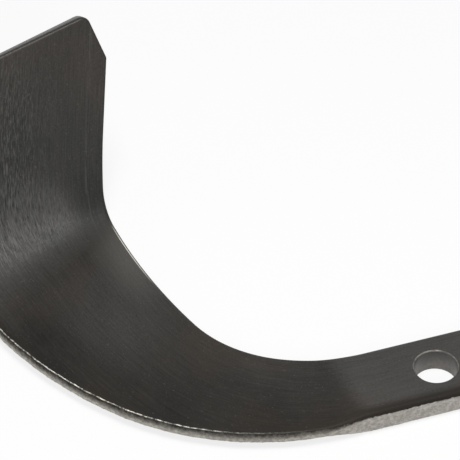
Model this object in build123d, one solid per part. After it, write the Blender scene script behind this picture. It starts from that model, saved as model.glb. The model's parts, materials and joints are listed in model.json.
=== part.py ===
from build123d import *
import math
import os

# Rotary tiller blade, forged from one flat bar. Sizes are in millimetres.
# Origin: centre of the bolt hole on the underside of the shank. The shank runs
# along +X, the sickle of the blade lies over the XY plane and the wing rises to +Z.
# The blade is drawn as a flat blank, seen from above, and then bent.

# Shank and bolt hole
shank_width = 26.0
shank_thickness = 8.0
shank_end_reach = 18.0
shank_end_corner_radius = 4.0
bolt_hole_diameter = 13.5
bolt_hole_chamfer = 0.4

# Rounding of every edge along the faces, as rolled and forged
edge_radius = 1.1

# Inner edge of the blank: arcs that turn it from the shank up into the wing
blade_start_reach = 19.0
inner_entry_radius = 55.3
inner_entry_turn = 28.2
inner_throat_radius = 43.1
inner_throat_turn = 41.9
inner_upper_radius = 210.0
inner_upper_turn = 23.0

# Outer edge of the blank, which cuts the soil
outer_straight_run = 13.1
outer_lower_radius = 89.0
outer_lower_turn = 49.6
outer_upper_radius = 138.0
outer_upper_turn = 45.0

# Section of the forged blade: how far its faces lie inside those of the bar
transition_lead = 5.0
transition_run = 14.0
back_face_drop = 0.3
back_under_rise = 1.1
cutting_edge_face_drop = 2.0
cutting_edge_under_rise = 2.1
wing_back_thinning = 1.0

# Bend: fold lines that fan out from an apex beside the inner edge
sickle_length = 109.9
bend_first_direction = 212.0
bend_apex_offset = 24.1
bend_fan_angle = 38.5
bend_angle = 64.0

# Wing: its end edge and the cut corner at the tip
wing_reach = 56.0
tip_corner_inset = 7.7
tip_corner_radius = 3.0
tip_chamfer_slant = 32.0
end_edge_slant = 28.5
trim_allowance = 9.0

# Numbers of section lines
transition_steps = 8
sickle_steps = 7
bend_steps = 7
wing_steps = 5

# The rounding may take this share of the thinnest wall, and cutters reach this many times past
rounding_share_of_wall = 0.45
cutter_overrun = 4

up = Vector(0, 0, 1)


def direction(angle):
    """Unit vector in the plane of the blank, at an angle from +X in degrees."""
    return Vector(math.cos(math.radians(angle)), math.sin(math.radians(angle)))


def mix(first, last, share):
    """Value that goes from first to last as share goes from 0 to 1."""
    return first + (last - first) * share


def blank_edge(start, straight_run, arcs):
    """One edge of the blank: it leaves the shank along -X and turns towards +Y."""
    heading = Vector(-1, 0)
    pieces = []
    if straight_run > 0:
        pieces.append(Line(start, start + heading * straight_run))
        start = pieces[-1] @ 1
    for radius, turn in arcs:
        arc = JernArc(start=start, tangent=heading, radius=radius, arc_size=-turn)
        pieces.append(arc)
        start = arc @ 1
        heading = arc % 1
    pieces.append(Line(start, start + heading * cutter_overrun * wing_reach))
    return Wire([edge for piece in pieces for edge in piece.edges()])


def crossing(outline, origin, heading):
    """Point where a ray in the plane of the blank crosses one of its edges."""
    ray = Axis(origin, heading)
    hits = [hit for edge in outline.edges() for hit in edge.find_intersection_points(ray)]
    ahead = [hit for hit in hits if (hit - origin).dot(heading) > 0]
    return min(ahead, key=lambda hit: (hit - origin).length)


inner_edge = blank_edge(
    Vector(-blade_start_reach, shank_width / 2),
    0,
    [
        (inner_entry_radius, inner_entry_turn),
        (inner_throat_radius, inner_throat_turn),
        (inner_upper_radius, inner_upper_turn),
    ],
)
outer_edge = blank_edge(
    Vector(-blade_start_reach, -shank_width / 2),
    outer_straight_run,
    [(outer_lower_radius, outer_lower_turn), (outer_upper_radius, outer_upper_turn)],
)

# First fold line, apex of the fan, and the directions across and along the wing
inner_share = sickle_length / inner_edge.length
first_fold = direction(bend_first_direction)
apex = inner_edge @ inner_share - first_fold * bend_apex_offset
outer_share = outer_edge.param_at_point(crossing(outer_edge, apex, first_fold))
wing_across = direction(bend_first_direction - bend_fan_angle)
wing_along = wing_across.cross(up)


def section_lines():
    """Lines across the blank, each with its two ends, its fold and its share of the wing."""
    lines = []
    # Flat sickle: even steps along both edges, short ones where the section changes
    last_change = (transition_lead + transition_run) / sickle_length
    shares = [last_change * step / transition_steps for step in range(transition_steps)]
    shares += [mix(last_change, 1, step / sickle_steps) for step in range(sickle_steps)]
    for share in shares:
        lines.append((inner_edge @ (share * inner_share), outer_edge @ (share * outer_share), 0, 0))
    # Bend: a fan about the apex, with half a fold at its first and last line
    for step in range(bend_steps + 1):
        across = direction(bend_first_direction - bend_fan_angle * step / bend_steps)
        fold = bend_angle / bend_steps
        if step in (0, bend_steps):
            fold = fold / 2
        lines.append((crossing(inner_edge, apex, across), crossing(outer_edge, apex, across), fold, 0))
    # Flat wing: parallel to the last line of the fan, to past its end edge
    for step in range(1, wing_steps + 1):
        share = step / wing_steps
        origin = apex + wing_along * ((wing_reach + trim_allowance) * share)
        inner = crossing(inner_edge, origin, wing_across)
        lines.append((inner, crossing(outer_edge, origin, wing_across), 0, share))
    return lines


def fold_about(inner, outer, angle):
    """Turn about a line on the face of the blank, which lifts what lies beyond the line."""
    line_angle = math.degrees(math.atan2(outer.Y - inner.Y, outer.X - inner.X))
    pivot = Vector(inner.X, inner.Y, shank_thickness)
    return Pos(pivot) * Rot(Z=line_angle) * Rot(X=-angle) * Rot(Z=-line_angle) * Pos(-pivot)


def section_corners(inner, outer, forged, wing_share):
    """Corners of the section across the bar: forged is 0 at the shank and 1 in the blade."""
    back_under = forged * back_under_rise + wing_share * wing_back_thinning
    edge_under = forged * cutting_edge_under_rise
    edge_face = shank_thickness - forged * cutting_edge_face_drop
    back_face = shank_thickness - forged * back_face_drop
    return [inner + up * back_under, outer + up * edge_under, outer + up * edge_face, inner + up * back_face]


def make_blade():
    """Bent blade with sharp corners, and the placement that carries the blank's plane to the wing."""
    placement = Location()
    sections = []
    distances = []
    travelled = 0
    last_middle = None
    for inner, outer, fold, wing_share in section_lines():
        middle = (inner + outer) / 2
        travelled += (middle - last_middle).length if last_middle else 0
        last_middle = middle
        distances.append(travelled)
        share = min(max((travelled - transition_lead) / transition_run, 0), 1)
        forged = share * share * (3 - 2 * share)
        half_fold = fold_about(inner, outer, fold / 2)
        placement = placement * half_fold
        corners = section_corners(inner, outer, forged, wing_share)
        sections.append([(placement * Pos(corner)).position for corner in corners])
        placement = placement * half_fold
    # One smooth line along each corner of the bar, and a ruled face between each two of them
    corner_lines = []
    for points in zip(*sections):
        tangents = [Vector(-1, 0), points[-1] - points[-2]]
        corner_lines.append(Edge.make_spline(points, tangents=tangents, parameters=distances))
    faces = [Face.make_surface_from_curves(corner_lines[side - 1], corner_lines[side]) for side in range(4)]
    faces += [make_face(Polyline(*sections[end], close=True)) for end in (0, -1)]
    return Solid(Shell(faces)), placement


def trim_tip(blade, placement):
    """Cut the wing to its end edge and its cut corner, which are drawn on the flat blank."""
    origin = apex + wing_along * wing_reach
    tip = crossing(inner_edge, origin, wing_across) + wing_across * tip_corner_inset
    reach = cutter_overrun * wing_reach
    end_edge = tip + wing_across.rotate(Axis.Z, end_edge_slant) * reach
    chamfer_edge = tip - wing_along.rotate(Axis.Z, tip_chamfer_slant) * reach
    kept = make_face(Polyline(tip, end_edge, end_edge - wing_along * reach, chamfer_edge, close=True))
    kept = fillet(kept.vertices().sort_by_distance(tip)[0], tip_corner_radius)
    waste = Pos(tip) * Rectangle(cutter_overrun * reach, cutter_overrun * reach) - kept
    return blade - placement * extrude(waste, amount=wing_reach, both=True)


def make_shank():
    """Straight bar with a rounded end, from the blade's first section past the bolt hole."""
    length = blade_start_reach + shank_end_reach
    plan = Pos(length / 2 - blade_start_reach, 0) * Rectangle(length, shank_width)
    plan = fillet(plan.vertices().group_by(Axis.X)[-1], shank_end_corner_radius)
    return extrude(plan, amount=shank_thickness)


def round_rims(bar):
    """Round the rims of both faces, all along the shank, the blade and the cut tip."""
    # The blade's faces are the largest ones, and share only their seams with the shank's flat ones
    broad_faces = bar.faces().filter_by(Plane.XY) + bar.faces().sort_by(SortBy.AREA)[-2:]
    face_edges = [edge for face in broad_faces for edge in face.edges()]
    rims = [edge for edge in face_edges if face_edges.count(edge) == 1]
    thinnest_wall = shank_thickness - cutting_edge_face_drop - cutting_edge_under_rise
    return fillet(rims, min(edge_radius, rounding_share_of_wall * thinnest_wall))


def drill(bar):
    """Bolt hole through the shank, with its rim on the face broken."""
    bar -= Cylinder(bolt_hole_diameter / 2, cutter_overrun * shank_thickness)
    hole_rims = bar.edges().filter_by(lambda edge: edge.is_closed)
    return chamfer(hole_rims.sort_by(Axis.Z)[-1], bolt_hole_chamfer)


blade, wing_placement = make_blade()
tiller_blade = drill(round_rims(make_shank() + trim_tip(blade, wing_placement)))
print("volume in cubic millimetres:", round(tiller_blade.volume), "solids:", len(tiller_blade.solids()))

os.makedirs("parts", exist_ok=True)
export_step(tiller_blade, "parts/tiller_blade.step")
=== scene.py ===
import json
import math
from functools import reduce

import bpy
import numpy as np
from bpy.props import FloatProperty, FloatVectorProperty, IntProperty, PointerProperty
from mathutils import Matrix, Vector
from mathutils.kdtree import KDTree


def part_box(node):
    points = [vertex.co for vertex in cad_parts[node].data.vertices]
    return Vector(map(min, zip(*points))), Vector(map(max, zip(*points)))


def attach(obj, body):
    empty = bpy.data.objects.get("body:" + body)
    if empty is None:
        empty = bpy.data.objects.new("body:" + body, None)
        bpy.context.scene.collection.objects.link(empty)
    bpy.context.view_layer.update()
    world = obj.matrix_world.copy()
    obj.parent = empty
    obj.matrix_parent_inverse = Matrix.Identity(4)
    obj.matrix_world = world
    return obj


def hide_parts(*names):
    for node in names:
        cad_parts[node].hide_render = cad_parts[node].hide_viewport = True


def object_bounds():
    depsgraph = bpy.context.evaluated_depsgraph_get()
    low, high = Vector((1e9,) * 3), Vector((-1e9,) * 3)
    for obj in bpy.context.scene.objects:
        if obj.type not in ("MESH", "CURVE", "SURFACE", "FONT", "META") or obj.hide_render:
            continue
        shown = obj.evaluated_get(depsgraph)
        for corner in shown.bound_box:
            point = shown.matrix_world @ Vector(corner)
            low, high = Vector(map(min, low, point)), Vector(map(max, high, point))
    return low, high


# Rotary tiller blade: the painted surface of the forging, the floor, the lamps and the camera.
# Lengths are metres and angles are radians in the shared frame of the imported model.
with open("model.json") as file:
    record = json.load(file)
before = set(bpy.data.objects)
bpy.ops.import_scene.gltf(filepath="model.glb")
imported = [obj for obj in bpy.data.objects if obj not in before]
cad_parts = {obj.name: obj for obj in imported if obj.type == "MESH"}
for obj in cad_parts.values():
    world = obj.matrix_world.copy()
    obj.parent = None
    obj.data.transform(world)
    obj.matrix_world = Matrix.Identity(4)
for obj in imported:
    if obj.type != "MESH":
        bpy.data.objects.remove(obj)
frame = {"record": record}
cad_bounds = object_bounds()

bl_info = {
    "name": "Painted tiller blade",
    "version": (1, 0, 0),
    "blender": (4, 5, 0),
    "location": "View3D > Sidebar > Tiller blade",
    "description": "Builds the painted surface of a forged rotary tiller blade, and its studio",
    "category": "Object",
}

NODE = "tiller_blade"
BODY = "root"
MM = 0.001
MOUNTS = {mount["name"]: mount for mount in frame["record"]["mounts"]}
BAR_THICKNESS = MOUNTS["upper_face"]["pos_m"][2]
BOLT_HOLE_RADIUS = MOUNTS["bolt_hole"]["dims"]["r_mm"] * MM
BOLT_HOLE_RIM = BAR_THICKNESS - MOUNTS["bolt_hole"]["dims"]["length_mm"] * MM
SHANK_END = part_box(NODE)[1].x

# How far each long edge goes on over an end of the bar, past the rounded corner
END_RUN = 0.2 * MM

# Edges of the mesh that bend by more than this stay sharp
SHARP_ANGLE = math.radians(30)


def length(name, description, millimetres):
    """A size of the part, given in millimetres and kept in metres."""
    return FloatProperty(name=name, description=description, default=millimetres * MM, min=0, unit="LENGTH")


def angle(name, description, degrees):
    """An angle of the part, given in degrees and kept in radians."""
    return FloatProperty(name=name, description=description, default=math.radians(degrees), unit="ROTATION")


def share(name, description, default):
    """A plain number from 0 to 1."""
    return FloatProperty(name=name, description=description, default=default, min=0, max=1)


def colour(name, description, default):
    """A linear colour."""
    return FloatVectorProperty(name=name, description=description, default=default, size=3, subtype="COLOR")


def plain(name, description, default):
    """A plain number."""
    return FloatProperty(name=name, description=description, default=default, min=0)


def power(name, description, watts):
    """Power of a lamp."""
    return FloatProperty(name=name, description=description, default=watts, min=0, unit="POWER")


def place(name, description, millimetres):
    """A point, given in millimetres and kept in metres."""
    metres = tuple(value * MM for value in millimetres)
    return FloatVectorProperty(name=name, description=description, default=metres, unit="LENGTH")


def span(name, description, *millimetres):
    """Distances along the bar from the blade's start: where a finish sets in, and where it ends."""
    metres = tuple(value * MM for value in millimetres)
    size = len(metres)
    return FloatVectorProperty(name=name, description=description, default=metres, size=size, unit="LENGTH")


def width(name, description, *shares):
    """Shares of the way across the bar from its inner edge, between which a finish changes."""
    return FloatVectorProperty(name=name, description=description, default=shares, size=len(shares))


def count(name, description, default):
    """A number of steps in the mesh."""
    return IntProperty(name=name, description=description, default=default, min=2)


class BlankSizes(bpy.types.PropertyGroup):
    """Outline of the flat blank before it is bent, seen from above."""

    bar_width: length("Bar width", "Width of the flat bar at the shank", 26.0)
    bar_edge: length("Bar edge", "Rounding of the bar's long edges", 1.1)
    end_corner: length("End corner", "Rounding of the two corners of the shank's end", 4.0)
    blade_start: length("Blade start", "From the bolt hole to where the blade begins", 19.0)
    entry_radius: length("Entry radius", "First arc of the inner edge", 55.3)
    entry_turn: angle("Entry turn", "Turn of the first arc of the inner edge", 28.2)
    throat_radius: length("Throat radius", "Second arc of the inner edge", 43.1)
    throat_turn: angle("Throat turn", "Turn of the second arc of the inner edge", 41.9)
    upper_radius: length("Upper radius", "Last arc of the inner edge", 210.0)
    upper_turn: angle("Upper turn", "Turn of the last arc of the inner edge", 23.0)
    straight_run: length("Straight run", "Straight start of the cutting edge", 13.1)
    cutting_radius: length("Cutting radius", "First arc of the cutting edge", 89.0)
    cutting_turn: angle("Cutting turn", "Turn of the first arc of the cutting edge", 49.6)
    outer_radius: length("Outer radius", "Second arc of the cutting edge", 138.0)
    outer_turn: angle("Outer turn", "Turn of the second arc of the cutting edge", 45.0)


class SectionSizes(bpy.types.PropertyGroup):
    """Forged section of the blade, as far as it lies inside the flat bar."""

    lead: length("Lead", "From the blade's start to where the section begins to change", 5.0)
    run: length("Run", "Length over which the section changes", 14.0)
    back_drop: length("Back drop", "Face of the bar to the blade's face at its back", 0.3)
    back_rise: length("Back rise", "Underside of the bar to the blade's at its back", 1.1)
    back_round: length("Back rounding", "Rounding of the blade's back", 1.1)
    edge_drop: length("Edge drop", "Face of the bar to the blade's face at the cutting edge", 2.0)
    edge_rise: length("Edge rise", "Underside of the bar to the blade's at the cutting edge", 2.1)
    edge_round: length("Edge rounding", "Rounding of the cutting edge", 1.1)
    uneven: length("Unevenness", "How far the outer edge wavers", 0.16)
    tip_thinning: length("Tip thinning", "How much thinner the wing's back is at its end", 1.0)


class BendSizes(bpy.types.PropertyGroup):
    """Bend between sickle and wing: folds that fan out from an apex, and the wing's tip."""

    sickle_length: length("Sickle length", "Inner edge from the blade's start to the first fold", 109.9)
    first_direction: angle("First fold", "Direction of the first fold, from the apex outwards", 212.0)
    apex_offset: length("Apex offset", "From the inner edge back to the apex of the fan", 24.1)
    fan: angle("Fan", "Angle between the first and the last fold", 38.5)
    bend: angle("Bend", "Angle between the sickle and the wing", 64.0)
    wing_reach: length("Wing reach", "From the apex to the tip, along the wing", 56.0)
    tip_inset: length("Tip inset", "From the inner edge to the tip", 7.7)
    tip_round: length("Tip rounding", "Rounding of the tip, seen on the face", 3.0)
    cut_slant: angle("Cut corner", "Slant of the cut corner against the wing", 32.0)
    end_slant: angle("End slant", "Slant of the wing's end edge", 28.5)
    end_round: length("End rounding", "Rounding of the rims of the wing's end", 1.1)
    trim: length("Trim", "How much longer the blank is than the wing", 9.0)


class MeshSteps(bpy.types.PropertyGroup):
    """How finely the surface is divided."""

    shank: count("Shank lines", "Lines across the shank", 56)
    sickle: count("Sickle lines", "Lines across the sickle", 170)
    fan: count("Bend lines", "Lines across the bend", 60)
    wing: count("Wing lines", "Lines across the wing", 110)
    across: count("Columns", "Columns on each face", 60)
    rounding: count("Rounding steps", "Steps in each rounded edge", 6)
    folds: count("Folds", "Small folds that make up the bend", 96)
    hole: count("Hole steps", "Steps round the bolt hole", 96)


class FinishLook(bpy.types.PropertyGroup):
    """Colours and gloss of the paint and of the scaly steel under it."""

    paint: colour("Paint", "Black paint on the faces", (0.0070, 0.0068, 0.0058))
    cool_paint: colour("Wing paint", "Black paint on the wing", (0.0052, 0.0066, 0.0062))
    worn_paint: colour("Worn paint", "Paint where it is thin", (0.026, 0.022, 0.018))
    warm_paint: colour("Brown bloom", "Brown bloom in the paint", (0.032, 0.020, 0.011))
    scale: colour("Scale", "Scaly steel on the shank's sides", (0.47, 0.442, 0.41))
    forged_scale: colour("Forged scale", "Scaly steel along the cutting edge", (0.50, 0.48, 0.415))
    dark_scale: colour("Dark scale", "Pits in the scaly steel", (0.31, 0.29, 0.265))
    # Grey of the specks, of the painted highlight in the throat and of the painted glints on the crinkle
    highlight_and_speck_grey: colour("Rubbed paint", "Grey of rubbed paint, specks and strokes", (0.066, 0.063, 0.055))
    arris: colour("Arris", "Bright worn arris of the cutting edge", (0.9, 0.87, 0.76))
    shine: share("Shine", "Strength of the paint's reflections", 0.4)
    base_shine: share("Base shine", "Strength of the reflections where the paint is dull", 0.14)
    gloss: share("Roughness", "Roughness of the paint", 0.38)
    scale_gloss: share("Scale roughness", "Roughness of the scaly steel", 0.42)


class WearPlaces(bpy.types.PropertyGroup):
    """Where the finish, the painted shade, the painted highlights and the painted glints change along the bar
    and across it.
    """

    cool: span("Wing paint", "Where the cooler paint of the wing sets in", 126, 150)
    brown: span("Brown tip", "Where the brown bloom of the tip sets in", 172, 196)
    brown_slant: length("Slant of the tip", "How much later that is at the outer edge", 14.0)
    crinkled: span("Crinkle", "Where the crinkled skin sets in", 130, 144)
    crinkled_width: width("Crinkle across", "Where it sets in across the bar", 0.06, 0.5)
    narrowing: span("Narrowing", "Where the crinkled skin draws back from the inner edge", 146, 160)
    narrowed: share("Narrowed", "How far it draws back", 0.14)
    softening: span("Softening", "Where the crinkle grows weaker", 150, 170)
    fading: span("Fading", "Where it grows weaker again", 180, 205)
    weakening: share("Weakening", "How much of the crinkle goes each time", 0.35)
    # Painted highlight along the inner edge in the throat
    painted_throat_highlight: span("Rubbed", "Where the inner edge is rubbed grey", 80, 108, 116, 134)
    painted_throat_highlight_width: width("Rubbed across", "How far in from the inner edge that reaches", 0.01, 0.3)
    bright: span("Bright arris", "Where the arris of the cutting edge grows bright", 18, 76)
    # Gap in the painted shade of the sickle
    glossy: span("Glossy patch", "Glossy patch on the sickle", 68, 92, 104, 150)
    painted_shade_gap_width: width("Patch across", "Where the patch ends across the bar", 0.5, 0.85)
    # Painted shade on the sickle: less coat there
    painted_shading: span("Dull sickle", "Where the sickle is dull", 9, 16, 114, 144)
    painted_shade_slant: length("Slant of the sickle", "How much earlier that is at the outer edge", 6.0)
    painted_shade_width: width("Dull across", "Where the sickle grows duller across the bar", 0.0, 0.9)
    painted_shade_start: share("Dull start", "How dull the sickle is at its inner edge", 0.6)
    # Painted shade in the throat: less coat there
    throat: span("Dull throat", "Where the throat is dull", 126, 142, 148, 166)
    throat_width: width("Throat across", "How far in from the inner edge that reaches", 0.05, 0.35)
    throat_painted_shade: share("Throat dullness", "How dull the throat is", 0.5)
    # Painted highlight on the ridge of the bend: more coat there
    ridge: span("Shiny ridge", "Ridge of the bend that shines", 134, 146, 148, 166)
    ridge_width: width("Ridge across", "Where the ridge shines across the bar", 0.1, 0.35, 0.6, 0.9)
    ridge_painted_highlight: plain("Ridge shine", "How much the ridge outshines the rest", 1.1)
    end_border: length("End border", "From the wing's end to where the finish of its end sets in", 3.0)
    end_face: length("End face", "From the wing's end to where that finish is in full", 0.5)


class StudioLook(bpy.types.PropertyGroup):
    """Floor, lamps and camera."""

    floor_white: share("Floor", "Grey level of the floor", 0.95)
    shadow: share("Shadow", "How much of the floor's own shading the camera sees", 0.2)
    room: share("Room", "Grey level of the room that lights the blade", 0.2)
    top_place: place("Top lamp place", "From the middle of the blade to the lamp overhead", (0, -100, 750))
    top_size: length("Top lamp size", "Side of the lamp overhead", 320)
    top_power: power("Top lamp", "Power of the lamp overhead", 4.4)
    front_place: place("Front lamp place", "From the middle to the lamp in front", (-100, -1000, 620))
    front_size: length("Front lamp size", "Side of the lamp in front", 300)
    front_power: power("Front lamp", "Power of the lamp in front", 2.2)
    side_place: place("Side lamp place", "From the middle to the lamp at the left", (-900, 100, 500))
    side_size: length("Side lamp size", "Side of the lamp at the left", 500)
    side_power: power("Side lamp", "Power of the lamp at the left", 0.6)
    azimuth: angle("Azimuth", "Where the camera stands, from the front", -16.345)
    elevation: angle("Elevation", "How far up the camera stands", 43.082)
    roll: angle("Roll", "How far the camera leans", -1.649)
    distance: length("Distance", "From the camera to its aim", 945.0)
    aim: place("Aim", "Point that the camera aims at", (-40.61, 83.51, 3.96))
    lens: plain("Lens", "Focal length in millimetres", 225.65)
    sensor: plain("Sensor", "Width of the sensor in millimetres", 36.0)


SETTINGS = {
    "blade_blank": BlankSizes,
    "blade_section": SectionSizes,
    "blade_bend": BendSizes,
    "blade_mesh": MeshSteps,
    "blade_finish": FinishLook,
    "blade_wear": WearPlaces,
    "blade_studio": StudioLook,
}


def heading_vector(headings):
    """Unit vectors in the plane of the blank."""
    return np.stack([np.cos(headings), np.sin(headings)], axis=-1)


def smooth_step(values, low, high):
    """Goes smoothly from 0 at low to 1 at high."""
    part = np.clip((values - low) / (high - low), 0, 1)
    return part * part * (3 - 2 * part)


def band(values, low, high, fall, end):
    """Rises smoothly from low to high and falls again from fall to end."""
    return smooth_step(values, low, high) * (1 - smooth_step(values, fall, end))


class Edge:
    """One long edge of the blank: straight pieces and arcs, each a length and its turn per metre."""

    def __init__(self, start, heading, side):
        self.start = np.array(start, float)
        self.heading = heading
        self.side = side
        self.pieces = []

    def add(self, run, turn=0.0):
        """Add a piece of that length that turns by that angle, to the left where it is positive."""
        self.pieces.append((run, turn / run))
        return self

    def arc(self, radius, turn):
        """Add an arc of that radius."""
        return self.add(radius * abs(turn), turn)

    def total(self):
        """Length of the edge."""
        return sum(run for run, _ in self.pieces)

    def cut(self, distance):
        """Keep the edge up to that distance."""
        kept = []
        for run, bend in self.pieces:
            run = min(run, distance)
            if run > 0:
                kept.append((run, bend))
            distance -= run
        self.pieces = kept

    def walk(self, distances):
        """Points of the edge at those distances, and its headings there."""
        distances = np.asarray(distances, float)
        points = np.zeros(distances.shape + (2,))
        headings = np.zeros(distances.shape)
        start, heading, passed = self.start, self.heading, 0.0
        for run, bend in self.pieces:
            here = distances >= passed
            gone = distances[here] - passed
            headings[here] = heading + bend * gone
            points[here] = start + self.along(heading, bend, gone)
            start = start + self.along(heading, bend, np.array(run))
            heading, passed = heading + bend * run, passed + run
        return points, headings

    @staticmethod
    def along(heading, bend, gone):
        """Way from the start of a piece after those distances."""
        gone = gone[..., None]
        if bend == 0:
            return gone * heading_vector(heading)
        turned = heading + bend * gone[..., 0]
        step = [np.sin(turned) - math.sin(heading), math.cos(heading) - np.cos(turned)]
        return np.stack(step, axis=-1) / bend

    def crossing(self, origin, direction, step=0.1 * MM):
        """Distance along the edge where a ray from the origin crosses it."""
        distances = np.arange(0, self.total(), step)
        way = self.walk(distances)[0] - origin
        beside = way[:, 0] * direction[1] - way[:, 1] * direction[0]
        ahead = way @ direction > 0
        changes = np.nonzero((beside[:-1] * beside[1:] <= 0) & ahead[:-1])[0]
        nearest = changes[np.argmin(way[changes] @ direction)]
        return distances[nearest] + step * beside[nearest] / (beside[nearest] - beside[nearest + 1])

    def outward(self, headings):
        """Directions out of the blank, beside the edge."""
        return heading_vector(headings + self.side * math.pi / 2)


class Blank:
    """The blank's two long edges, the apex of its folds and the lines across it."""

    def __init__(self, sizes, bend, steps):
        self.bend, self.steps = bend, steps
        straight = SHANK_END - sizes.end_corner + sizes.blade_start
        first = END_RUN + sizes.end_corner * math.pi / 2 + straight
        self.inner = self.inner_edge(sizes, straight)
        self.outer = self.outer_edge(sizes, straight)
        fold_start = self.inner.walk([first + bend.sickle_length])[0][0]
        self.apex = fold_start - heading_vector(bend.first_direction) * bend.apex_offset
        self.across = heading_vector(bend.first_direction - bend.fan)
        self.along = np.array([self.across[1], -self.across[0]])
        ways = np.linspace(0, 1, steps.fan)
        folds = [heading_vector(bend.first_direction - bend.fan * way) for way in ways]
        in_fan = [self.inner.crossing(self.apex, fold) for fold in folds]
        out_fan = [self.outer.crossing(self.apex, fold) for fold in folds]
        self.measure_wing()
        self.finish_tip()
        self.at_inner = self.stations(first, in_fan, self.inner.total())
        self.at_outer = self.stations(first, out_fan, self.outer.total())

    def inner_edge(self, sizes, straight):
        """Inner edge, from the shank's end round its corner and on beyond the wing."""
        edge = Edge((SHANK_END, sizes.bar_width / 2 - sizes.end_corner - END_RUN), math.pi / 2, -1)
        edge.add(END_RUN).arc(sizes.end_corner, math.pi / 2).add(straight)
        edge.arc(sizes.entry_radius, -sizes.entry_turn).arc(sizes.throat_radius, -sizes.throat_turn)
        return edge.arc(sizes.upper_radius, -sizes.upper_turn).add(2 * self.bend.wing_reach)

    def outer_edge(self, sizes, straight):
        """Outer edge, likewise; its heading goes from -90 degrees down to -180 and on."""
        edge = Edge((SHANK_END, sizes.end_corner + END_RUN - sizes.bar_width / 2), -math.pi / 2, 1)
        edge.add(END_RUN).arc(sizes.end_corner, -math.pi / 2).add(straight).add(sizes.straight_run)
        edge.arc(sizes.cutting_radius, -sizes.cutting_turn).arc(sizes.outer_radius, -sizes.outer_turn)
        return edge.add(2 * self.bend.wing_reach)

    def stations(self, first, fan, last):
        """Distances along one edge where the lines across the blank start or end."""
        return np.concatenate([
            np.linspace(0, first, self.steps.shank, endpoint=False),
            np.linspace(first, fan[0], self.steps.sickle, endpoint=False),
            fan,
            np.linspace(fan[-1], last, self.steps.wing)[1:],
        ])

    def measure_wing(self):
        """Where both edges lie across the wing, for each distance along it."""
        self.wing_edges = []
        step = 0.5 * MM
        for edge in (self.inner, self.outer):
            way = edge.walk(np.arange(0, edge.total(), step))[0] - self.apex
            beyond = way @ self.across > 0
            self.wing_edges.append((way[beyond] @ self.along, way[beyond] @ self.across))

    def finish_tip(self):
        """End both edges at the wing's end: the inner one over the cut corner and the tip."""
        bend = self.bend
        cut_heading = math.atan2(self.along[1], self.along[0]) + bend.cut_slant
        end_heading = bend.first_direction - bend.fan + bend.end_slant
        origin = self.apex + self.along * bend.wing_reach
        beside_tip = self.inner.walk([self.inner.crossing(origin, self.across)])[0][0]
        tip = beside_tip + self.across * bend.tip_inset

        cut_start = self.inner.crossing(tip, -heading_vector(cut_heading))
        corner, heading = self.inner.walk([cut_start])
        turn = math.remainder(cut_heading - heading[0], 2 * math.pi)
        kept = bend.end_round * math.tan(turn / 2)
        tip_turn = end_heading - cut_heading
        tip_kept = bend.tip_round * math.tan(tip_turn / 2)
        self.inner.cut(cut_start - kept)
        self.cut_corner = self.inner.total()
        self.inner.arc(bend.end_round, turn).add(np.linalg.norm(tip - corner[0]) - kept - tip_kept)
        self.inner.arc(bend.tip_round, tip_turn).add(END_RUN)

        end_start = self.outer.crossing(tip, heading_vector(end_heading))
        _, heading = self.outer.walk([end_start])
        turn = math.remainder(end_heading - math.pi - heading[0], 2 * math.pi)
        self.outer.cut(end_start - bend.end_round * math.tan(abs(turn) / 2))
        self.end_corner = self.outer.total()
        self.outer.arc(bend.end_round, turn).add(END_RUN)

    def wing_places(self, points):
        """Distances along the wing and from its inner edge, and the share of the way across it."""
        way = points - self.apex
        beyond, aside = way @ self.along, way @ self.across
        (inner_along, inner_across), (outer_along, outer_across) = self.wing_edges
        near = np.interp(beyond, inner_along, inner_across)
        far = np.interp(beyond, outer_along, outer_across)
        return beyond, aside - near, np.clip((aside - near) / (far - near), 0, 1)

    def folded(self, points):
        """Points of the flat blank after the bend."""
        folds, bend = self.steps.folds, self.bend
        placements = [Matrix.Identity(4)]
        apex = Matrix.Translation((*self.apex, BAR_THICKNESS))
        for number in range(folds):
            turned = Matrix.Rotation(bend.first_direction - bend.fan * (number + 0.5) / folds, 4, "Z")
            fold = turned @ Matrix.Rotation(-bend.bend / folds, 4, "X") @ turned.inverted()
            placements.append(placements[-1] @ apex @ fold @ apex.inverted())
        placements = np.array([np.array(placement) for placement in placements])
        way = points[:, :2] - self.apex
        turned = bend.first_direction - np.arctan2(way[:, 1], way[:, 0])
        turned = np.remainder(turned + math.pi, 2 * math.pi) - math.pi
        position = np.clip(turned / bend.fan, 0, 1) * folds
        index = np.minimum(position.astype(int), folds - 1)
        rest = (position - index)[:, None]
        full = np.concatenate([points, np.ones((len(points), 1))], axis=1)
        before = np.einsum("nij,nj->ni", placements[index], full)[:, :3]
        after = np.einsum("nij,nj->ni", placements[index + 1], full)[:, :3]
        return before * (1 - rest) + after * rest


# Wavelengths of the outer edge's waver in millimetres, and their phases
WAVES = ((17.0, 0.3), (7.3, 1.1), (3.1, 2.0), (1.7, 0.6))

# Columns of the table of places that goes with the points of the surface
ALONG, OVER, DEPTH, RISE, HEIGHT, BESIDE = range(6)


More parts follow.
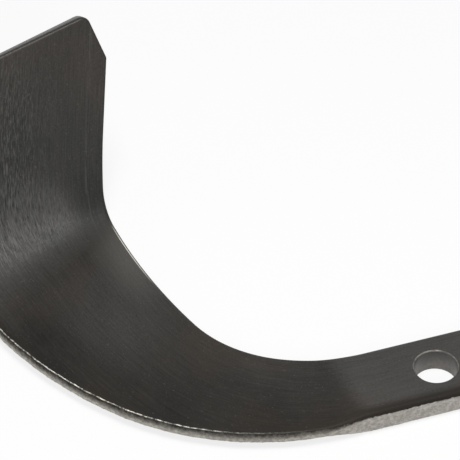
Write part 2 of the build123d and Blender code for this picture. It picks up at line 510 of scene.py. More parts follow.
class BladeSurface:
    """Closed mesh of the forging: loops round its section on every line across the blank."""

    def __init__(self, scene):
        self.section = scene.blade_section
        self.sizes, self.bend, self.steps = scene.blade_blank, scene.blade_bend, scene.blade_mesh
        self.blank = Blank(self.sizes, self.bend, self.steps)
        blank = self.blank
        self.inner, headings = blank.inner.walk(blank.at_inner)
        self.inner_out = blank.inner.outward(headings)
        self.outer, headings = blank.outer.walk(blank.at_outer)
        self.outer_out = blank.outer.outward(headings)
        self.outer += self.outer_out * self.unevenness(blank.at_outer)[:, None]
        middle = (self.inner + self.outer) / 2
        gone = np.concatenate([[0], np.cumsum(np.linalg.norm(np.diff(middle, axis=0), axis=1))])
        self.along = gone - gone[self.steps.shank]
        self.forged = smooth_step(self.along, self.section.lead, self.section.lead + self.section.run)
        self.wing_line = self.steps.shank + self.steps.sickle + self.steps.fan
        self.in_wing = np.arange(len(gone)) >= self.wing_line
        self.collect()

    def unevenness(self, at):
        """How far the outer edge wavers at those distances along it, past the shank's end."""
        wavering = sum(np.sin(2 * math.pi * at / (wave * MM) + phase) for wave, phase in WAVES)
        # None over a first distance, and in full after twice as much
        calm = self.section.lead + self.section.run
        return self.section.uneven * wavering / len(WAVES) * smooth_step(at, calm, 2 * calm)

    def levels(self, plan, over):
        """Heights of the face and of the underside at those points, which lie over across the line."""
        section, forged = self.section, self.forged
        beyond, _, wing_over = self.blank.wing_places(plan)
        over = np.where(self.in_wing, wing_over, over)
        wing_share = np.clip(beyond / (self.bend.wing_reach + self.bend.trim), 0, 1)
        thinning = section.tip_thinning * np.where(self.in_wing, wing_share, 0) * (1 - over)
        face = BAR_THICKNESS - forged * (section.back_drop * (1 - over) + section.edge_drop * over)
        under = forged * (section.back_rise * (1 - over) + section.edge_rise * over) + thinning
        return face, under

    def rounding(self, at, corner, forged_round):
        """Rounding radius along one edge, which changes at the shank and at the wing's end."""
        radius = self.sizes.bar_edge * (1 - self.forged) + forged_round * self.forged
        change = 1 * MM
        near_end = smooth_step(at, corner - change, corner)
        return radius * (1 - near_end) + self.bend.end_round * near_end

    def collect(self):
        """Points of all loops in the flat blank, with the masks that the finish reads."""
        blank, section = self.blank, self.section
        sides = [
            (self.inner, self.inner_out, self.rounding(blank.at_inner, blank.cut_corner, section.back_round)),
            (self.outer, self.outer_out, self.rounding(blank.at_outer, blank.end_corner, section.edge_round)),
        ]
        columns = []

        def add_column(plan, over, lift, top):
            face, under = self.levels(plan, np.full(len(plan), float(over)))
            height = face - lift if top else under + lift
            columns.append((np.column_stack([plan, height]), over, face - height, height - under))

        def edge_column(side, turned, top):
            base, out, radius = sides[side]
            plan = base - out * (radius * (1 - math.cos(turned)))[:, None]
            add_column(plan, side, radius * (1 - math.sin(turned)), top)

        def face_column(over, top):
            start, end = [base - out * radius[:, None] for base, out, radius in sides]
            add_column(start * (1 - over) + end * over, over, 0, top)

        # Over the face from the inner edge to the outer one, and back along the underside
        angles = np.linspace(0, math.pi / 2, self.steps.rounding + 1)
        inside = np.linspace(0, 1, self.steps.across + 1)[1:-1]
        for side, top, ways in ((0, True, inside), (1, False, inside[::-1])):
            for turned in angles:
                edge_column(side, turned, top)
            for over in ways:
                face_column(over, top)
            for turned in angles[::-1]:
                edge_column(1 - side, turned, top)
        flat, self.over, depth, rise = zip(*columns)
        self.flat, self.depth, self.rise = (np.stack(values, axis=1) for values in (flat, depth, rise))

    def grid(self):
        """Points and quads of the bent mesh, and for each point its places and its distance along the bar."""
        lines, loop = self.flat.shape[:2]
        points = self.flat.reshape(-1, 3)
        index = np.arange(lines * loop).reshape(lines, loop)
        following = np.roll(index, -1, axis=1)
        quads = [np.stack([index[:-1], following[:-1], following[1:], index[1:]], axis=-1).reshape(-1, 4)]
        across_lines = self.outer - self.inner
        across_lines = across_lines / np.linalg.norm(across_lines, axis=1)[:, None]
        beside = np.einsum("ijk,ik->ij", self.flat[..., :2] - self.inner[:, None], across_lines)
        places = np.empty((len(points), BESIDE + 1))
        places[:, ALONG] = np.repeat(self.along, loop)
        places[:, OVER] = np.tile(self.over, lines)
        places[:, DEPTH] = self.depth.ravel()
        places[:, RISE] = self.rise.ravel()
        places[:, HEIGHT] = points[:, 2]
        places[:, BESIDE] = beside.ravel()
        for own, flip in ((index[0], False), (index[-1], True)):
            points, places, cap = self.close_end(points, places, own)
            quads.append(cap[:, ::-1] if flip else cap)
        beyond, beside, _ = self.blank.wing_places(points[:, :2])
        wing_start = self.along[self.wing_line - 1]
        in_wing = places[:, ALONG] > wing_start
        places[in_wing, BESIDE] = beside[in_wing]
        bar_place = np.where(in_wing, wing_start + beyond, places[:, ALONG])
        return self.blank.folded(points), np.concatenate(quads), np.column_stack([places, bar_place])

    def close_end(self, points, places, own):
        """Close one end with a grid whose rows go down the rounding, the wall and the lower rounding."""
        corner = self.steps.rounding
        half = len(own) // 2
        upper, lower = own[:half], own[half:][::-1]
        inner_rows = np.concatenate([upper[:corner][::-1], lower[:corner]])
        outer_rows = np.concatenate([upper[-corner:], lower[-corner:][::-1]])
        table = [upper[corner:-corner]]
        ways = np.linspace(0, 1, self.steps.across + 1)[1:-1]
        for near, far in zip(inner_rows, outer_rows):
            made = points[near] * (1 - ways[:, None]) + points[far] * ways[:, None]
            table.append(np.concatenate([[near], len(points) + np.arange(len(made)), [far]]))
            points = np.concatenate([points, made])
            more = np.repeat(places[near][None], len(made), axis=0)
            more[:, OVER] = ways
            places = np.concatenate([places, more])
        table = np.array(table + [lower[corner:-corner]])
        cap = np.stack([table[:-1, :-1], table[1:, :-1], table[1:, 1:], table[:-1, 1:]], axis=-1)
        return points, places, cap.reshape(-1, 4)


# Sockets of a Mix node for colours: its factor, its two colours and its result
MIX_FACTOR, MIX_FIRST, MIX_SECOND, MIX_RESULT = 0, 6, 7, 2

# Noises of the finish: how many features in a metre, their detail and their roughness
CLOUDS = (45.0, 4.0, 0.55)
BLOOMS = (28.0, 3.0, 0.5)
PEEL = (1500.0, 3.0, 0.5)
SPECKS = (1900.0, 1.0, 0.5)
PAINT_BORDER = (700.0, 6.0, 0.7)
ARRIS_BREAKS = (620.0, 8.0, 0.8)
RIM_BREAKS = (330.0, 4.0, 0.7)

# Streaks in a metre across the bar, and how many times as long as wide they are
FINE_STREAKS = {"Streaks": 2300.0, "Stretch": 26.0}
BROAD_STREAKS = {"Streaks": 700.0, "Stretch": 20.0}
WRINKLES = {"Streaks": 2500.0, "Stretch": 6.5}
DRILLED_RINGS = {"Streaks": 900.0, "Stretch": 4.0}

# Grains of scale in a metre on the sides and in the bolt hole, and depths of both reliefs
SIDE_GRAINS = 1900.0
BORE_GRAINS = 1500.0
PAINT_RELIEF = 0.06 * MM
BORE_RELIEF = 0.03 * MM


class Nodes:
    """Adds nodes to a tree, with their values, and joins them."""

    def __init__(self, tree):
        self.tree = tree

    def add(self, kind, sockets=None, **values):
        """Add a node; sockets gives its inputs, each a value or the output that feeds it."""
        node = self.tree.nodes.new(kind)
        for name, value in values.items():
            setattr(node, name, value)
        for name, value in (sockets or {}).items():
            if isinstance(value, bpy.types.NodeSocket):
                self.tree.links.new(value, node.inputs[name])
            else:
                node.inputs[name].default_value = value
        return node

    def math(self, operation, first, second=0.0, clamp=False):
        """Output of a Math node."""
        sockets = {0: first, 1: second}
        return self.add("ShaderNodeMath", sockets, operation=operation, use_clamp=clamp).outputs[0]

    def times(self, *values):
        """Product of those outputs and numbers."""
        return reduce(lambda first, second: self.math("MULTIPLY", first, second), values)

    def plus(self, *values):
        """Sum of those outputs and numbers."""
        return reduce(lambda first, second: self.math("ADD", first, second), values)

    def most(self, *values):
        """Largest of those outputs and numbers."""
        return reduce(lambda first, second: self.math("MAXIMUM", first, second), values)

    def without(self, value):
        """What the value leaves of 1."""
        return self.math("SUBTRACT", 1.0, value)

    def ramp(self, value, low, high, first=0.0, last=1.0):
        """Output that goes from first to last as the value goes from low to high."""
        sockets = {"Value": value, "From Min": low, "From Max": high, "To Min": first, "To Max": last}
        return self.add("ShaderNodeMapRange", sockets, clamp=True).outputs["Result"]

    def fade(self, mask, first, last):
        """Output that goes from first where the mask is 0 to last where it is 1."""
        return self.ramp(mask, 0.0, 1.0, first, last)

    def mix(self, factor, first, second):
        """Colour between two colours."""
        sockets = {MIX_FACTOR: factor, MIX_FIRST: first, MIX_SECOND: second}
        return self.add("ShaderNodeMix", sockets, data_type="RGBA").outputs[MIX_RESULT]

    def noise(self, vector, scale, detail, roughness):
        """Output of a noise that has about that many features in each unit of the vector."""
        sockets = {"Vector": vector, "Scale": scale, "Detail": detail, "Roughness": roughness}
        return self.add("ShaderNodeTexNoise", sockets).outputs[0]

    def attribute(self, name, output="Fac"):
        """Output of a mesh attribute."""
        return self.add("ShaderNodeAttribute", attribute_name=name).outputs[output]

    def group(self, group, sockets):
        """Outputs of a node group, placed with those values."""
        return self.add("ShaderNodeGroup", sockets, node_tree=group).outputs

    def bump(self, height, distance):
        """Normal of a relief with that height."""
        sockets = {"Strength": 1.0, "Distance": distance, "Height": height}
        return self.add("ShaderNodeBump", sockets).outputs["Normal"]

    def output(self, shader, kind="ShaderNodeOutputMaterial"):
        """Join a shader to the output of the material or of the world."""
        self.add(kind, {"Surface": shader.outputs[0]})


def new_group(name, inputs, outputs):
    """Node group with those sockets; inputs are (name, type, default)."""
    group = bpy.data.node_groups.new(name, "ShaderNodeTree")
    for socket_name, kind, default in inputs:
        socket = group.interface.new_socket(socket_name, in_out="INPUT", socket_type=kind)
        if default is not None:
            socket.default_value = default
    for socket_name in outputs:
        group.interface.new_socket(socket_name, in_out="OUTPUT", socket_type="NodeSocketFloat")
    nodes = Nodes(group)
    return group, nodes, nodes.add("NodeGroupInput").outputs, nodes.add("NodeGroupOutput").inputs


def rolled_grain():
    """Streaks of the rolled bar, which run along the blade, from 0 to 1."""
    group, nodes, given, out = new_group(
        "Rolled grain",
        [
            ("Place", "NodeSocketVector", None),
            ("Streaks", "NodeSocketFloat", 1500.0),
            ("Stretch", "NodeSocketFloat", 60.0),
        ],
        ["Height"],
    )
    detail, roughness = 5.0, 0.62
    split = nodes.add("ShaderNodeSeparateXYZ", {0: given["Place"]}).outputs
    shortened = nodes.math("DIVIDE", split["X"], given["Stretch"])
    narrow = nodes.add("ShaderNodeCombineXYZ", {"X": shortened, "Y": split["Y"], "Z": split["Z"]}).outputs[0]
    group.links.new(nodes.noise(narrow, given["Streaks"], detail, roughness), out["Height"])
    return group


def mill_scale():
    """Scaly skin of hot-worked steel: its height, and a mask of its pits."""
    group, nodes, given, out = new_group(
        "Mill scale",
        [("Place", "NodeSocketVector", None), ("Grains", "NodeSocketFloat", 900.0)],
        ["Height", "Pits"],
    )
    # A noise bends the grains out of true, and a coarser one lies over them
    bends, bend, grain_height = 700.0, 0.8 * MM, 0.45
    coarseness, detail, roughness = 0.45, 6.0, 0.65
    warp = nodes.add("ShaderNodeTexNoise", {"Vector": given["Place"], "Scale": bends, "Detail": 3.0})
    moved = nodes.add("ShaderNodeVectorMath", {0: warp.outputs["Color"], "Scale": bend}, operation="SCALE")
    sockets = {0: given["Place"], 1: moved.outputs[0]}
    bent = nodes.add("ShaderNodeVectorMath", sockets, operation="ADD").outputs[0]
    cells = nodes.add("ShaderNodeTexVoronoi", {"Vector": bent, "Scale": given["Grains"]}).outputs["Distance"]
    coarse = nodes.noise(bent, nodes.times(given["Grains"], coarseness), detail, roughness)
    group.links.new(nodes.plus(nodes.times(cells, grain_height), coarse), out["Height"])
    group.links.new(nodes.ramp(coarse, 0.42, 0.62, 1.0, 0.0), out["Pits"])
    return group


def new_material(name):
    """Empty material, and the nodes helper for it."""
    material = bpy.data.materials.new(name)
    material.use_nodes = True
    material.node_tree.nodes.clear()
    return material, Nodes(material.node_tree)


def opaque(value):
    """Colour with its alpha."""
    return (*value, 1.0)


class BladePaint:
    """Black semi-gloss paint over the rolled and forged steel, worn off the sides and the arris, with painted
    shade, highlights and glints.
    """

    def __init__(self, look, grain, scale):
        self.look = look
        self.material, self.nodes = new_material("black_paint_on_forging")
        nodes = self.nodes
        self.spot = nodes.attribute("blank_place", "Vector")
        names = ["face_depth", "under_rise", "over", "to_edge", "forged", "wing", "wing_end", "tip"]
        names += ["crinkle", "painted_throat_highlight", "bright_arris", "painted_shading"]
        self.mask = {name: nodes.attribute(name) for name in names}
        self.streaks = nodes.group(grain, {"Place": self.spot, **FINE_STREAKS})["Height"]
        self.broad = nodes.group(grain, {"Place": self.spot, **BROAD_STREAKS})["Height"]
        self.wrinkles = nodes.group(grain, {"Place": self.spot, **WRINKLES})["Height"]
        self.skin = nodes.group(scale, {"Place": self.spot, "Grains": SIDE_GRAINS})
        self.cloud = nodes.noise(self.spot, *CLOUDS)
        self.peel = nodes.noise(self.spot, *PEEL)
        self.mark_bare_steel()
        self.mark_arris()
        self.mark_painted_border_shade()
        shader = nodes.add("ShaderNodeBsdfPrincipled", {
            "Base Color": self.colour(),
            "Roughness": self.roughness(),
            "Metallic": nodes.most(nodes.times(self.bare, 0.8), self.arris),
            "Coat Weight": self.coat(),
            "Coat Roughness": look.gloss,
            "Specular IOR Level": look.base_shine,
            "Normal": self.relief(),
        })
        nodes.output(shader)

    def mark_bare_steel(self):
        """Bare scaly steel on the sides, under a ragged border of paint that reaches lower where forged."""
        nodes, mask = self.nodes, self.mask
        # Depths in millimetres: the border's raggedness, and where steel sets in and paint ends
        raggedness, steel_start, shank_paint_end, blade_paint_end = 1.8, 1.2, 1.6, 3.3
        under_paint = (0.28, 0.5)
        border = nodes.math("SUBTRACT", nodes.noise(self.spot, *PAINT_BORDER), 0.5)
        ragged = nodes.times(border, raggedness)
        paint_end = nodes.fade(mask["forged"], shank_paint_end, blade_paint_end)
        below_face = nodes.plus(mask["face_depth"], ragged, mask["forged"])
        above_under = nodes.plus(mask["under_rise"], nodes.times(ragged, 0.5))
        self.off_face = nodes.ramp(below_face, steel_start, paint_end)
        off_under = nodes.ramp(above_under, *under_paint)
        by_forging = nodes.fade(mask["forged"], 1.0, 0.92)
        by_end = nodes.fade(mask["wing_end"], 1.0, 0.05)
        self.bare = nodes.times(self.off_face, off_under, by_forging, by_end)

    def mark_arris(self):
        """Bright worn line along the upper arris of the cutting edge, broken in places, and an unbroken
        painted highlight on the upper arris of the throat's inner edge.
        """
        nodes, mask = self.nodes, self.mask
        # Depths in millimetres between which the line sets in and ends
        line_start, line_end = (0.004, 0.02), (0.04, 0.14)
        faintest, brightest, inner_brightness = 0.05, 0.9, 0.7
        depth = mask["face_depth"]
        line = nodes.times(nodes.ramp(depth, *line_start), nodes.ramp(depth, *line_end, 1.0, 0.0))
        broken = nodes.ramp(nodes.noise(self.spot, *ARRIS_BREAKS), 0.42, 0.62, faintest, brightest)
        outer_edge = nodes.ramp(mask["over"], 0.6, 0.7)
        cutting = nodes.times(line, broken, mask["forged"], mask["bright_arris"], outer_edge)
        # Painted highlight along the arris of the inner edge in the throat
        inner = nodes.times(line, nodes.ramp(mask["painted_throat_highlight"], 0.3, 1.0, 0.0, inner_brightness))
        self.arris = nodes.times(nodes.most(cutting, inner), nodes.fade(mask["wing_end"], 1.0, 0.0))

    def mark_painted_border_shade(self):
        """Mask of painted shade beside the outer edge and down the roundings, as far as the bare steel; it
        takes coat away and makes the paint rougher.
        """
        nodes, mask = self.nodes, self.mask
        # Millimetres in from the outer edge, and down from the face
        border_core, border_end, rounding_depth = 0.6, 3.6, 0.4
        near_edge = nodes.ramp(mask["to_edge"], border_core, border_end, 1.0, 0.0)
        near_edge = nodes.times(near_edge, nodes.fade(mask["forged"], 0.9, 0.5))
        border = nodes.most(near_edge, nodes.ramp(mask["face_depth"], 0.0, rounding_depth))
        by_end = nodes.fade(mask["wing_end"], 1.0, 0.6)
        self.painted_border_shade = nodes.times(border, nodes.without(self.off_face), by_end)

    def colour(self):
        """Base colour: paint that is worn and brown in places, specks, a painted highlight in the throat,
        painted glints on the crinkle, scaly steel and the arris.
        """
        nodes, mask, look = self.nodes, self.mask, self.look
        brownest, brown_on_wing, brown_at_tip = 0.4, 0.3, 0.22
        worn = nodes.plus(self.cloud, nodes.times(self.broad, 0.3), nodes.times(self.streaks, 0.8))
        thick = nodes.mix(mask["wing"], opaque(look.paint), opaque(look.cool_paint))
        paint = nodes.mix(nodes.ramp(worn, 0.75, 1.4), thick, opaque(look.worn_paint))
        bloom = nodes.ramp(nodes.noise(self.spot, *BLOOMS), 0.5, 0.72, 0.0, brownest)
        bloom = nodes.times(bloom, nodes.fade(mask["wing"], 1.0, brown_on_wing))
        bloom = nodes.most(bloom, nodes.fade(mask["tip"], 0.0, brown_at_tip))
        paint = nodes.mix(bloom, paint, opaque(look.warm_paint))
        paint = nodes.mix(self.painted_highlights_and_specks(), paint, opaque(look.highlight_and_speck_grey))
        clean = nodes.mix(mask["forged"], opaque(look.scale), opaque(look.forged_scale))
        steel = nodes.mix(self.skin["Pits"], clean, opaque(look.dark_scale))
        covered = nodes.mix(self.bare, paint, steel)
        return nodes.mix(self.arris, covered, opaque(look.arris))

    def painted_highlights_and_specks(self):
        """Mask of the painted highlight in the throat, specks, painted glints on the crinkle and a line drawn
        along the wing.
        """
        nodes, mask = self.nodes, self.mask
        line_place, line_core, line_border = 6.0 * MM, 0.1 * MM, 0.7 * MM
        line_strength, speck_strength, glint_strength, throat_highlight_strength = 0.5, 0.75, 0.9, 0.8
        specks = nodes.ramp(nodes.noise(self.spot, *SPECKS), 0.71, 0.77, 0.0, speck_strength)
        beside = nodes.add("ShaderNodeSeparateXYZ", {0: self.spot}).outputs["Y"]
        from_line = nodes.math("ABSOLUTE", nodes.math("SUBTRACT", beside, line_place))
        drawn = nodes.ramp(from_line, line_core, line_border, line_strength, 0.0)
        by_streaks = nodes.ramp(self.streaks, 0.38, 0.62)
        on_face = nodes.ramp(mask["face_depth"], 0.0, 0.5, 1.0, 0.0)
        drawn = nodes.times(drawn, by_streaks, mask["wing"], on_face)
        # Painted glints: grey strokes on the wrinkles of the crinkle
        painted_glint_strokes = nodes.times(nodes.ramp(self.wrinkles, 0.5, 0.68, 0.0, glint_strength), mask["crinkle"])
        return nodes.most(nodes.times(mask["painted_throat_highlight"], throat_highlight_strength), painted_glint_strokes, specks, drawn)

    def roughness(self):
        """Roughness: cloudy, glossier on the crinkle, duller on the border of painted shade and on bare
        steel.
        """
        nodes, look = self.nodes, self.look
        cloudiness, crinkle_gloss, border_dullness = 0.16, 0.07, 0.22
        return nodes.plus(
            look.gloss,
            nodes.times(nodes.math("SUBTRACT", self.cloud, 0.5), cloudiness),
            nodes.times(self.mask["crinkle"], -crinkle_gloss),
            nodes.times(self.painted_border_shade, border_dullness),
            nodes.times(self.bare, look.scale_gloss - look.gloss),
        )

    def coat(self):
        """Weight of the paint's glossy coat, which adds what the dull base doesn't reflect, with a painted
        sheen on the shank, painted shade, a painted highlight on the ridge and painted glints on the crinkle.
        """
        nodes, mask, look = self.nodes, self.mask, self.look
        shank_painted_sheen, border_shine, painted_shade_depth = 1.2, 0.15, 0.6
        # Painted glints: more coat on the crinkle's wrinkles, less between them
        painted_crinkle_glints = nodes.times(nodes.ramp(self.wrinkles, 0.34, 0.66, -0.6, 0.62), mask["crinkle"])
        # Painted sheen on the shank, painted shade on the sickle, the throat and the border, painted
        # highlight on the ridge
        shine = nodes.times(
            look.shine,
            nodes.fade(mask["forged"], shank_painted_sheen, 1.0),
            nodes.without(nodes.times(mask["painted_shading"], painted_shade_depth)),
            nodes.fade(self.painted_border_shade, 1.0, border_shine),
            nodes.ramp(self.streaks, 0.3, 0.7, 0.9, 1.1),
            nodes.ramp(self.peel, 0.32, 0.68, 0.86, 1.14),
            nodes.plus(painted_crinkle_glints, 1.0),
        )
        # A full coat reflects as much as a specular level of 0.5 does, so it counts twice
        coat = nodes.math("SUBTRACT", nodes.times(shine, 2.0), 2 * look.base_shine, clamp=True)
        return nodes.times(coat, nodes.without(nodes.most(self.bare, self.arris)))

    def relief(self):
        """Normal of the grain and the orange peel, the deep crinkle and the scaly sides."""
        nodes = self.nodes
        crinkled = nodes.times(self.wrinkles, self.mask["crinkle"])
        scaly = nodes.times(self.skin["Height"], self.bare)
        # Each height with its depth, in units of the relief
        parts = [(self.streaks, 0.6), (self.broad, 0.6), (self.peel, 0.5), (crinkled, 9.0), (scaly, 4.5)]
        return nodes.bump(nodes.plus(*(nodes.times(height, depth) for height, depth in parts)), PAINT_RELIEF)


def bore_material(look, grain, scale):
    """Thinly painted wall of the bolt hole, lighter low down and darker towards the top as painted shade
    under the rim, and barer on its broken rim.
    """
    material, nodes = new_material("thin_paint_in_bolt_hole")
    spot = nodes.attribute("blank_place", "Vector")
    skin = nodes.group(scale, {"Place": spot, "Grains": BORE_GRAINS})
    rings = nodes.group(grain, {"Place": spot, **DRILLED_RINGS})["Height"]
    height = nodes.add("ShaderNodeSeparateXYZ", {0: spot}).outputs["Z"]
    bare_low, bare_high, bare_rim = 0.28, 0.08, 0.5
    # Painted shade: less bare steel, so darker, towards the top of the wall
    wall = nodes.ramp(height, 0.3 * BAR_THICKNESS, 0.9 * BAR_THICKNESS, bare_low, bare_high)
    wall = nodes.times(wall, nodes.ramp(skin["Height"], 0.5, 0.95, 0.8, 1.2))
    rim_start = BAR_THICKNESS - BOLT_HOLE_RIM
    rim = nodes.ramp(height, rim_start, rim_start + 0.15 * MM, 0.0, bare_rim)
    rim = nodes.times(rim, nodes.ramp(nodes.noise(spot, *RIM_BREAKS), 0.4, 0.6, 0.3, 1.0))
    bare = nodes.most(wall, rim)
    shader = nodes.add("ShaderNodeBsdfPrincipled", {
        "Base Color": nodes.mix(bare, opaque(look.worn_paint), opaque(look.scale)),
        "Metallic": bare,
        "Roughness": nodes.ramp(rings, 0.3, 0.7, 0.34, 0.44),
        "Normal": nodes.bump(nodes.plus(rings, nodes.times(skin["Height"], 0.3)), BORE_RELIEF),
    })
    nodes.output(shader)
    return material


def mesh_object(name, points, faces):
    """Object with a mesh of those points and faces."""
    mesh = bpy.data.meshes.new(name)
    mesh.from_pydata(points.tolist(), [], faces.tolist())
    mesh.update()
    item = bpy.data.objects.new(name, mesh)
    bpy.context.scene.collection.objects.link(item)
    return item


def set_attribute(mesh, name, values):
    """Store one number or vector for each vertex."""
    kind, key = ("FLOAT", "value") if values.ndim == 1 else ("FLOAT_VECTOR", "vector")
    made = mesh.attributes.new(name, kind, "POINT")
    made.data.foreach_set(key, values.astype(np.float32).ravel())


def lathe(profile, steps):
    """Points and quads of a closed ring of (radius, height) turned about the Z axis."""
    turns = np.arange(steps) * 2 * math.pi / steps
    radius, height = np.array(profile).T
    ring = np.stack([np.outer(np.cos(turns), radius), np.outer(np.sin(turns), radius)], axis=-1)
    points = np.concatenate([ring, np.broadcast_to(height[:, None], ring.shape[:2] + (1,))], axis=-1)
    index = np.arange(steps * len(profile)).reshape(steps, len(profile))
    after, beside = np.roll(index, -1, axis=0), np.roll(index, -1, axis=1)
    both = np.roll(after, -1, axis=1)
    quads = np.stack([index[:, :-1], after[:, :-1], both[:, :-1], beside[:, :-1]], axis=-1)
    return points.reshape(-1, 3), quads.reshape(-1, 4)


class OBJECT_OT_forged_blade(bpy.types.Operator):
    """Build the painted blade: shank, sickle, bend, wing and bolt hole"""

    bl_idname = "object.forged_blade"
    bl_label = "Forged blade"

    def execute(self, context):
        """Build the surface, drill it, mark where each finish goes and hide the plain solid."""
        surface = BladeSurface(context.scene)
        points, quads, places = surface.grid()
        blade = mesh_object("painted_blade", points, quads[:, ::-1])
        grain, scale = rolled_grain(), mill_scale()
        look = context.scene.blade_finish
        blade.data.materials.append(BladePaint(look, grain, scale).material)
        blade.data.materials.append(bore_material(look, grain, scale))
        self.drill(blade, context.scene.blade_mesh.hole)
        self.mark(blade.data, surface, points, places, context.scene.blade_wear)
        blade.data.shade_smooth()
        blade.data.set_sharp_from_angle(angle=SHARP_ANGLE)
        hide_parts(NODE)
        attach(blade, BODY)
        return {"FINISHED"}

    @staticmethod
    def drill(blade, steps):
        """Cut the bolt hole with its broken rim; the wall takes the blade's second material."""
        past = BAR_THICKNESS
        top = BAR_THICKNESS + past
        profile = [(0.0, -past), (BOLT_HOLE_RADIUS, -past), (BOLT_HOLE_RADIUS, BAR_THICKNESS - BOLT_HOLE_RIM),
                   (BOLT_HOLE_RADIUS + BOLT_HOLE_RIM + past, top), (0.0, top)]
        points, quads = lathe(profile, steps)
        cutter = mesh_object("bolt_hole_cutter", points, quads)
        for material in blade.data.materials:
            cutter.data.materials.append(material)
        cutter.data.polygons.foreach_set("material_index", np.ones(len(quads), np.int32))
        cut = blade.modifiers.new("bolt hole", "BOOLEAN")
        cut.operation, cut.object, cut.solver = "DIFFERENCE", cutter, "EXACT"
        bpy.context.view_layer.update()
        drilled = bpy.data.meshes.new_from_object(blade.evaluated_get(bpy.context.evaluated_depsgraph_get()))
        blade.modifiers.clear()
        blade.data = drilled
        bpy.data.objects.remove(cutter)

    def mark(self, mesh, surface, points, places, wear):
        """Give each vertex its place in the straight bar, and the masks of the finish, of the painted shade
        and of the painted highlights.
        """
        tree = KDTree(len(points))
        for number, point in enumerate(points):
            tree.insert(point, number)
        tree.balance()
        spots = np.empty(len(mesh.vertices) * 3, np.float32)
        mesh.vertices.foreach_get("co", spots)
        spots = spots.reshape(-1, 3)
        nearest = np.array([tree.find(point)[1] for point in spots])
        along, over, depth, rise, height, beside, bar_place = places[nearest].T
        straight = np.column_stack([bar_place, beside, height])
        # The shank is straight already, so its own vertices give their places
        start = surface.sizes.blade_start
        own = np.column_stack([-start - spots[:, 0], surface.sizes.bar_width / 2 - spots[:, 1], spots[:, 2]])
        on_shank = spots[:, 0] > -start
        straight[on_shank] = own[on_shank]
        along_bar = straight[:, 0]
        widths = np.interp(along, surface.along, np.linalg.norm(surface.outer - surface.inner, axis=1))
        set_attribute(mesh, "blank_place", straight)
        set_attribute(mesh, "face_depth", depth / MM)
        set_attribute(mesh, "under_rise", rise / MM)
        set_attribute(mesh, "over", over)
        set_attribute(mesh, "forged", np.interp(along_bar, surface.along, surface.forged))
        set_attribute(mesh, "to_edge", (1 - over) * widths / MM)
        self.mark_wear(mesh, along_bar, over, wear)
        from_end = surface.along[-1] - along
        set_attribute(mesh, "wing_end", 1 - smooth_step(from_end, wear.end_face, wear.end_border))

    @staticmethod
    def mark_wear(mesh, along, over, wear):
        """Masks of wear, painted shade, painted highlights and painted glints, from the distance along the
        bar and the share of the way across it.
        """
        narrowed = over - wear.narrowed * smooth_step(along, *wear.narrowing)
        crinkle = smooth_step(along, *wear.crinkled) * smooth_step(narrowed, *wear.crinkled_width)
        gone = smooth_step(along, *wear.softening) + smooth_step(along, *wear.fading)
        # Painted shade on the sickle with a gap in it, painted shade in the throat, and a painted highlight
        # on the ridge
        glossy = band(along, *wear.glossy) * (1 - smooth_step(over, *wear.painted_shade_gap_width))
        painted_shade_across = wear.painted_shade_start + (1 - wear.painted_shade_start) * smooth_step(over, *wear.painted_shade_width)
        sickle = band(along + wear.painted_shade_slant * over, *wear.painted_shading) * painted_shade_across * (1 - glossy)
        throat = band(along, *wear.throat) * (1 - smooth_step(over, *wear.throat_width))
        ridge = band(along, *wear.ridge) * band(over, *wear.ridge_width)
        # Painted highlight along the inner edge in the throat
        painted_throat_highlight = band(along, *wear.painted_throat_highlight) * (1 - smooth_step(over, *wear.painted_throat_highlight_width))
        set_attribute(mesh, "wing", smooth_step(along, *wear.cool))
        set_attribute(mesh, "tip", smooth_step(along - wear.brown_slant * over, *wear.brown))
        set_attribute(mesh, "crinkle", crinkle * (1 - wear.weakening * gone))
        set_attribute(mesh, "painted_throat_highlight", painted_throat_highlight)
        set_attribute(mesh, "bright_arris", smooth_step(along, *wear.bright))
        # Painted shade where positive, painted highlight on the ridge where negative; the coat reads it
        painted_shading = np.maximum(sickle, wear.throat_painted_shade * throat)
        set_attribute(mesh, "painted_shading", painted_shading - wear.ridge_painted_highlight * ridge)


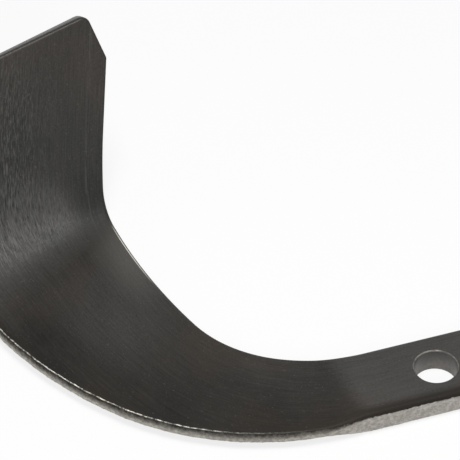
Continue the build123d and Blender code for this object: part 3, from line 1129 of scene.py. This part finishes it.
class OBJECT_OT_blade_studio(bpy.types.Operator):
    """Build the floor, the room, the lamps and the camera"""

    bl_idname = "object.blade_studio"
    bl_label = "Studio"

    def execute(self, context):
        """Build the stage round the blade."""
        look = context.scene.blade_studio
        self.floor(look)
        self.room(context.scene, look)
        self.lamp("top_lamp", look.top_place, look.top_size, look.top_power)
        self.lamp("front_lamp", look.front_place, look.front_size, look.front_power)
        self.lamp("side_lamp", look.side_place, look.side_size, look.side_power)
        self.camera(context.scene, look)
        return {"FINISHED"}

    @staticmethod
    def seen(nodes):
        """1 for rays that show the background: to the camera, off gloss and through glass."""
        path = nodes.add("ShaderNodeLightPath").outputs
        return nodes.most(path["Is Camera Ray"], path["Is Glossy Ray"], path["Is Transmission Ray"])

    def floor(self, look):
        """White floor that keeps a soft shadow."""
        half_side, gap = 3.0, 0.1 * MM
        corners = np.array([(-1, -1, 0), (1, -1, 0), (1, 1, 0), (-1, 1, 0)]) * half_side
        corners[:, 2] = cad_bounds[0].z - gap
        floor = mesh_object("studio_floor", corners, np.array([[0, 1, 2, 3]]))
        material, nodes = new_material("white_floor")
        card = nodes.add("ShaderNodeBsdfDiffuse", {"Color": opaque((look.floor_white,) * 3)})
        white = nodes.add("ShaderNodeEmission", {"Color": opaque((1.0, 1.0, 1.0)), "Strength": 1.0})
        share_white = nodes.times(self.seen(nodes), 1 - look.shadow)
        both = {0: share_white, 1: card.outputs[0], 2: white.outputs[0]}
        nodes.output(nodes.add("ShaderNodeMixShader", both))
        floor.data.materials.append(material)

    def room(self, scene, look):
        """Even grey light from all round, which shows white."""
        scene.world = bpy.data.worlds.new("white_room")
        scene.world.use_nodes = True
        scene.world.node_tree.nodes.clear()
        nodes = Nodes(scene.world.node_tree)
        grey = nodes.fade(self.seen(nodes), look.room, 1.0)
        light = nodes.add("ShaderNodeBackground", {"Color": opaque((1.0, 1.0, 1.0)), "Strength": grey})
        nodes.output(light, "ShaderNodeOutputWorld")

    @staticmethod
    def lamp(name, offset, size, watts):
        """Square soft lamp at that offset from the middle of the blade, which it faces."""
        data = bpy.data.lights.new(name, "AREA")
        data.shape, data.size, data.energy = "SQUARE", size, watts
        item = bpy.data.objects.new(name, data)
        bpy.context.scene.collection.objects.link(item)
        item.location = (cad_bounds[0] + cad_bounds[1]) / 2 + Vector(offset)
        item.rotation_euler = (-Vector(offset)).to_track_quat("-Z", "Y").to_euler()

    @staticmethod
    def camera(scene, look):
        """Camera at the photograph's angle."""
        data = bpy.data.cameras.new("photo_camera")
        data.lens, data.sensor_width, data.clip_end = look.lens, look.sensor, 10 * look.distance
        item = bpy.data.objects.new("photo_camera", data)
        scene.collection.objects.link(item)
        turn = Matrix.Rotation(look.azimuth, 4, "Z")
        tilt = Matrix.Rotation(math.pi / 2 - look.elevation, 4, "X")
        lean = Matrix.Rotation(look.roll, 4, "Z")
        back = Matrix.Translation((0, 0, look.distance))
        item.matrix_world = Matrix.Translation(look.aim) @ turn @ tilt @ lean @ back
        scene.camera = item
        scene.view_settings.view_transform = "Standard"


class VIEW3D_PT_tiller_blade(bpy.types.Panel):
    """Sizes, finish and studio of the tiller blade"""

    bl_idname = "VIEW3D_PT_tiller_blade"
    bl_label = "Tiller blade"
    bl_space_type = "VIEW_3D"
    bl_region_type = "UI"
    bl_category = "Tiller blade"

    def draw(self, context):
        """Show each group of settings and the operators."""
        layout = self.layout
        for name in SETTINGS:
            box = layout.box()
            box.label(text=name.replace("_", " ").capitalize())
            for prop in getattr(context.scene, name).bl_rna.properties:
                if not prop.is_readonly and prop.identifier != "name":
                    box.prop(getattr(context.scene, name), prop.identifier)
        layout.operator(OBJECT_OT_forged_blade.bl_idname)
        layout.operator(OBJECT_OT_blade_studio.bl_idname)


CLASSES = (*SETTINGS.values(), OBJECT_OT_forged_blade, OBJECT_OT_blade_studio, VIEW3D_PT_tiller_blade)


def register():
    """Register the settings, the operators and the panel."""
    for item in CLASSES:
        bpy.utils.register_class(item)
    for name, group in SETTINGS.items():
        setattr(bpy.types.Scene, name, PointerProperty(type=group))


def unregister():
    """Take them out again."""
    for name in SETTINGS:
        delattr(bpy.types.Scene, name)
    for item in reversed(CLASSES):
        bpy.utils.unregister_class(item)


def main():
    """Build the blade and its studio."""
    register()
    bpy.ops.object.forged_blade()
    bpy.ops.object.blade_studio()


if __name__ == "__main__":
    main()
